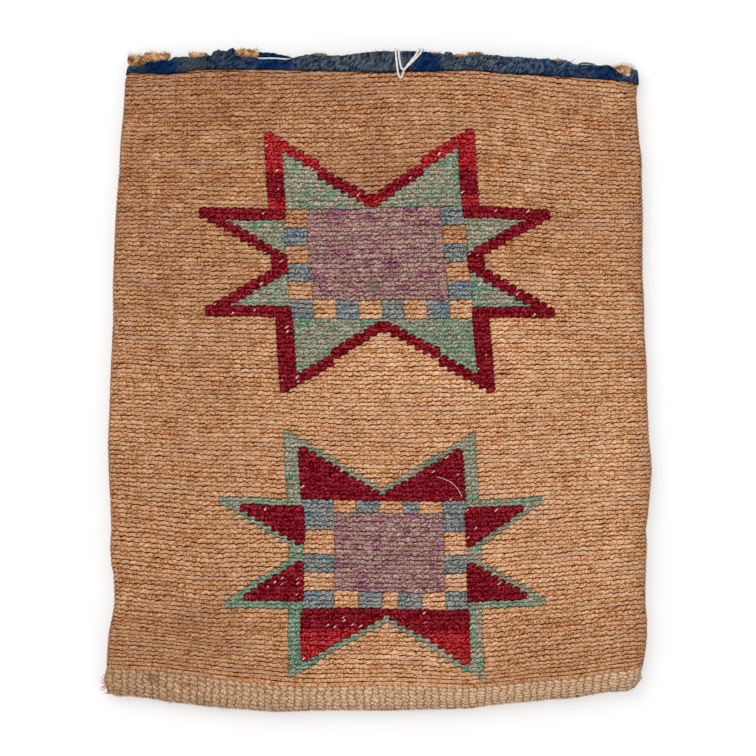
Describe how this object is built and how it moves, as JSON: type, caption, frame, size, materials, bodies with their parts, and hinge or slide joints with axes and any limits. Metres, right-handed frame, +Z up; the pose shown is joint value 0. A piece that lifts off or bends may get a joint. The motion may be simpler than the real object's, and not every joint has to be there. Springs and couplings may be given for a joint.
{
  "type": "cornhusk bag",
  "caption": "Flat twined bag of cornhusk and hemp, with star patterns in dyed yarn on its front, a cloth-bound mouth and a short string at the rim.",
  "frame": {"origin": "under the middle of the bag, on the surface that it lies on", "axes": "+X to the right across the front, +Y from the base towards the mouth, +Z up out of the front"},
  "size_m": [0.2534, 0.3086, 0.0131],
  "materials": {
    "husk": "matte",
    "hemp": "matte",
    "wool_cloth": "matte",
    "string": "matte",
    "red_yarn": "matte",
    "green_yarn": "matte",
    "blue_yarn": "matte",
    "lavender_yarn": "matte"
  },
  "bodies": {
    "root": {"husk_body": "husk", "hemp_base": "hemp", "rim_binding": "wool_cloth", "string_straight_turn": "string", "string_slanted_turn": "string", "upper_star_border": "red_yarn", "upper_star_field_top": "green_yarn", "upper_star_field_bottom": "green_yarn", "upper_star_field_upper_right": "green_yarn", "upper_star_field_upper_left": "green_yarn", "upper_star_field_lower_left": "green_yarn", "upper_star_field_lower_right": "green_yarn", "upper_star_center": "lavender_yarn", "upper_star_check_1": "blue_yarn", "upper_star_check_2": "blue_yarn", "upper_star_check_3": "blue_yarn", "upper_star_check_4": "blue_yarn", "upper_star_check_5": "blue_yarn", "upper_star_check_6": "blue_yarn", "upper_star_check_7": "blue_yarn", "upper_star_check_8": "blue_yarn", "upper_star_check_9": "blue_yarn", "lower_star_border": "green_yarn", "lower_star_field_top": "red_yarn", "lower_star_field_bottom": "red_yarn", "lower_star_field_upper_right": "red_yarn", "lower_star_field_upper_left": "red_yarn", "lower_star_field_lower_left": "red_yarn", "lower_star_field_lower_right": "red_yarn", "lower_star_center": "lavender_yarn", "lower_star_check_1": "blue_yarn", "lower_star_check_2": "blue_yarn", "lower_star_check_3": "blue_yarn", "lower_star_check_4": "blue_yarn", "lower_star_check_5": "blue_yarn", "lower_star_check_6": "blue_yarn", "lower_star_check_7": "blue_yarn", "lower_star_check_8": "blue_yarn", "lower_star_check_9": "blue_yarn", "lower_star_check_10": "blue_yarn"}
  },
  "joints": []
}
